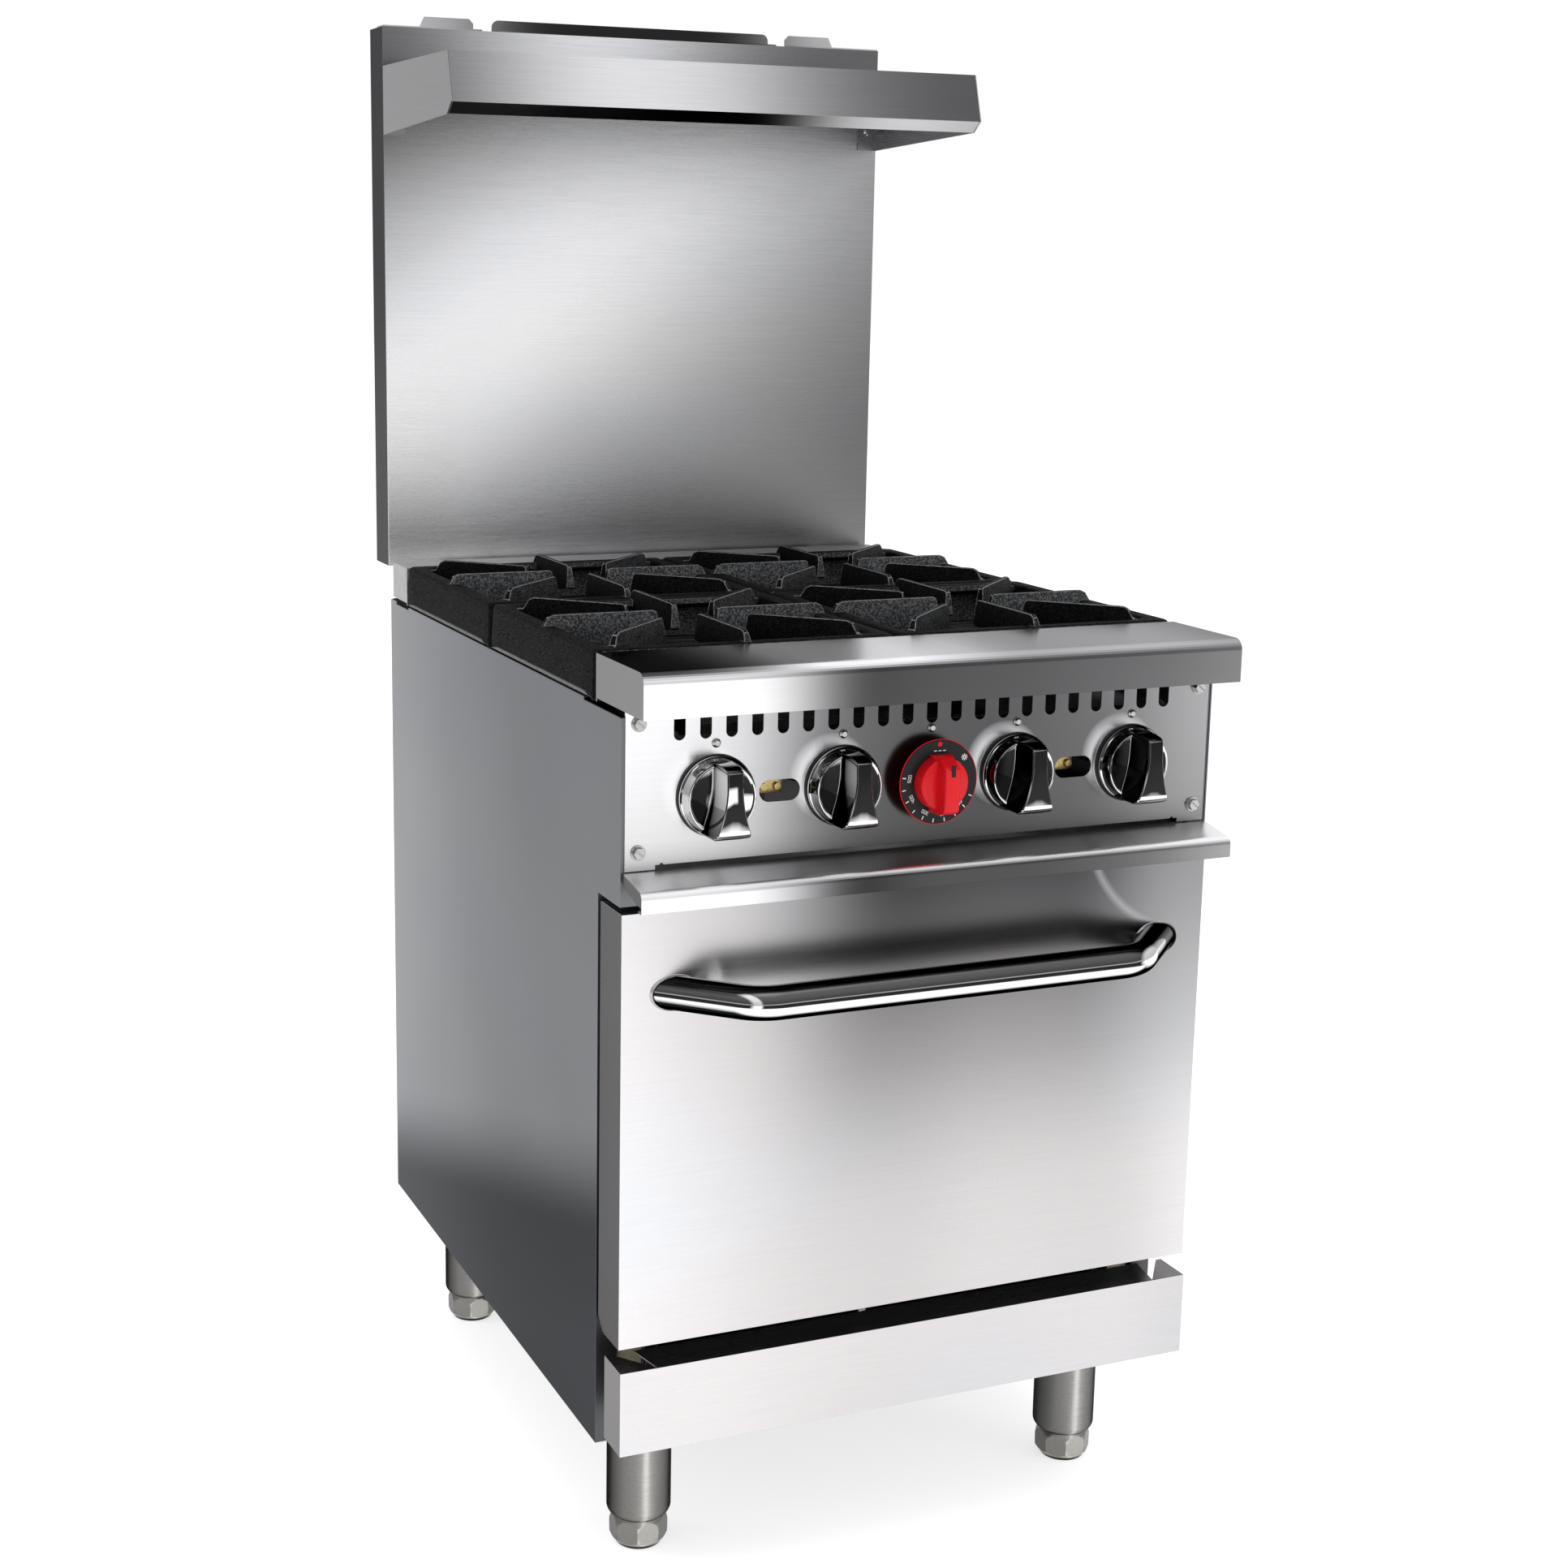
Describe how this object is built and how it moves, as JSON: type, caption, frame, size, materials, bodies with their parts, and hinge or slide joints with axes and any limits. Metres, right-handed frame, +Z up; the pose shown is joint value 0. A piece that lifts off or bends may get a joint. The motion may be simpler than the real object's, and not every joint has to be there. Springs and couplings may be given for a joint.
{
  "type": "commercial gas range",
  "caption": "Free-standing restaurant gas range: open burners under lift-off grates, a drop-door oven, a riser with a high shelf, adjustable legs.",
  "frame": {"origin": "centre of the overall box's footprint, on the floor plane under the feet", "axes": "+X to the cook's right when facing the range, +Y from the front to the back, +Z up"},
  "size_m": [0.61, 0.8809, 1.497],
  "materials": {
    "satin_steel": "satin stainless sheet, horizontal grain",
    "brushed": "brushed stainless sheet, horizontal grain",
    "galvanised": "aluminised or galvanised sheet, matte",
    "frame_steel": "dark painted steel",
    "leg_steel": "satin stainless tube",
    "foot_cast": "grey cast metal foot",
    "bright_metal": "bright plated steel",
    "polished": "polished chrome",
    "black_paint": "black satin paint",
    "enamel": "dark blue-black porcelain enamel, gloss",
    "insulation": "mineral wool",
    "gasket": "woven heat-proof cord",
    "cast_iron": "matte black cast iron",
    "brass": "machined brass",
    "copper": "copper tube",
    "aluminium_tube": "plain aluminium",
    "red_plastic": "red phenolic, gloss",
    "dial_black": "black dial plate with pale marks"
  },
  "bodies": {
    "range_body": {"side_left": "satin_steel", "side_right": "satin_steel", "back_panel": "galvanised", "base_frame": "frame_steel", "leg_tubes": "leg_steel", "front_rail": "brushed", "rear_ledge": "galvanised", "grate_support": "frame_steel", "control_panel": "brushed", "panel_screws": "bright_metal", "trim_screws": "bright_metal", "knob_bezels": "black_paint", "oven_face_frame": "frame_steel", "oven_liner": "enamel", "oven_insulation": "insulation", "rack_guides": "bright_metal", "oven_floor": "enamel", "oven_burner": "cast_iron", "gas_manifold": "frame_steel", "burner_valves": "brass", "pilot_valves": "brass", "gas_tubes": "aluminium_tube", "burner_bodies": "cast_iron", "burner_caps": "cast_iron", "thermostat_body": "aluminium_tube", "thermostat_bulb": "copper", "riser_front": "brushed", "riser_back": "galvanised", "riser_caps": "brushed", "flue_duct": "galvanised", "shelf_top": "brushed", "shelf_end_left": "satin_steel", "shelf_end_right": "satin_steel", "shelf_screws": "bright_metal", "tray_rails": "galvanised", "hinge_brackets": "frame_steel", "hinge_springs": "bright_metal"},
    "foot_front_left": {"foot_front_left": "foot_cast"},
    "foot_front_right": {"foot_front_right": "foot_cast"},
    "foot_rear_left": {"foot_rear_left": "foot_cast"},
    "foot_rear_right": {"foot_rear_right": "foot_cast"},
    "oven_door": {"door_skin": "brushed", "door_liner": "enamel", "door_insulation": "insulation", "door_gasket": "gasket", "door_handle": "polished", "hinge_arms": "frame_steel"},
    "crumb_tray": {"crumb_tray": "brushed"},
    "kick_plate": {"kick_plate": "brushed"},
    "oven_rack": {"oven_rack": "bright_metal"},
    "knob_1": {"knob_1": "polished"},
    "knob_2": {"knob_2": "polished"},
    "knob_3": {"knob_3": "polished"},
    "knob_4": {"knob_4": "polished"},
    "thermostat": {"thermostat_knob": "red_plastic", "thermostat_dial": "dial_black"},
    "grate_front_left": {"grate_front_left": "cast_iron"},
    "grate_front_right": {"grate_front_right": "cast_iron"},
    "grate_rear_left": {"grate_rear_left": "cast_iron"},
    "grate_rear_right": {"grate_rear_right": "cast_iron"}
  },
  "joints": [
    {"name": "door_hinge", "type": "hinge", "parent": "range_body", "child": "oven_door", "pos_m": [0, -0.34355, 0.272], "axis": [1, 0, 0], "range_deg": [0, 90]},
    {"name": "crumb_tray_slide", "type": "slide", "parent": "range_body", "child": "crumb_tray", "axis": [0, -1, 0], "range_m": [0, 0.45]},
    {"name": "kick_plate_pull", "type": "slide", "parent": "range_body", "child": "kick_plate", "axis": [0, -1, 0], "range_m": [0, 0.15]},
    {"name": "oven_rack_slide", "type": "slide", "parent": "range_body", "child": "oven_rack", "axis": [0, -1, 0], "range_m": [0, 0.3]},
    {"name": "knob_1_turn", "type": "hinge", "parent": "range_body", "child": "knob_1", "pos_m": [-0.215, -0.36355, 0.77], "axis": [0, -1, 0], "range_deg": [0, 135]},
    {"name": "knob_2_turn", "type": "hinge", "parent": "range_body", "child": "knob_2", "pos_m": [-0.09, -0.36355, 0.77], "axis": [0, -1, 0], "range_deg": [0, 135]},
    {"name": "knob_3_turn", "type": "hinge", "parent": "range_body", "child": "knob_3", "pos_m": [0.09, -0.36355, 0.77], "axis": [0, -1, 0], "range_deg": [0, 135]},
    {"name": "knob_4_turn", "type": "hinge", "parent": "range_body", "child": "knob_4", "pos_m": [0.215, -0.36355, 0.77], "axis": [0, -1, 0], "range_deg": [0, 135]},
    {"name": "thermostat_turn", "type": "hinge", "parent": "range_body", "child": "thermostat", "pos_m": [0, -0.36355, 0.77], "axis": [0, -1, 0], "range_deg": [0, 285]},
    {"name": "grate_front_left_lift", "type": "slide", "parent": "range_body", "child": "grate_front_left", "axis": [0, 0, 1], "range_m": [0, 0.12]},
    {"name": "grate_front_right_lift", "type": "slide", "parent": "range_body", "child": "grate_front_right", "axis": [0, 0, 1], "range_m": [0, 0.12]},
    {"name": "grate_rear_left_lift", "type": "slide", "parent": "range_body", "child": "grate_rear_left", "axis": [0, 0, 1], "range_m": [0, 0.12]},
    {"name": "grate_rear_right_lift", "type": "slide", "parent": "range_body", "child": "grate_rear_right", "axis": [0, 0, 1], "range_m": [0, 0.12]},
    {"name": "foot_front_left_adjust", "type": "slide", "parent": "range_body", "child": "foot_front_left", "axis": [0, 0, -1], "range_m": [0, 0.025]},
    {"name": "foot_front_right_adjust", "type": "slide", "parent": "range_body", "child": "foot_front_right", "axis": [0, 0, -1], "range_m": [0, 0.025]},
    {"name": "foot_rear_left_adjust", "type": "slide", "parent": "range_body", "child": "foot_rear_left", "axis": [0, 0, -1], "range_m": [0, 0.025]},
    {"name": "foot_rear_right_adjust", "type": "slide", "parent": "range_body", "child": "foot_rear_right", "axis": [0, 0, -1], "range_m": [0, 0.025]}
  ],
  "couplings": [
    {"joint": "oven_rack_slide", "follows": "door_hinge", "m_per_rad": 0.19}
  ]
}
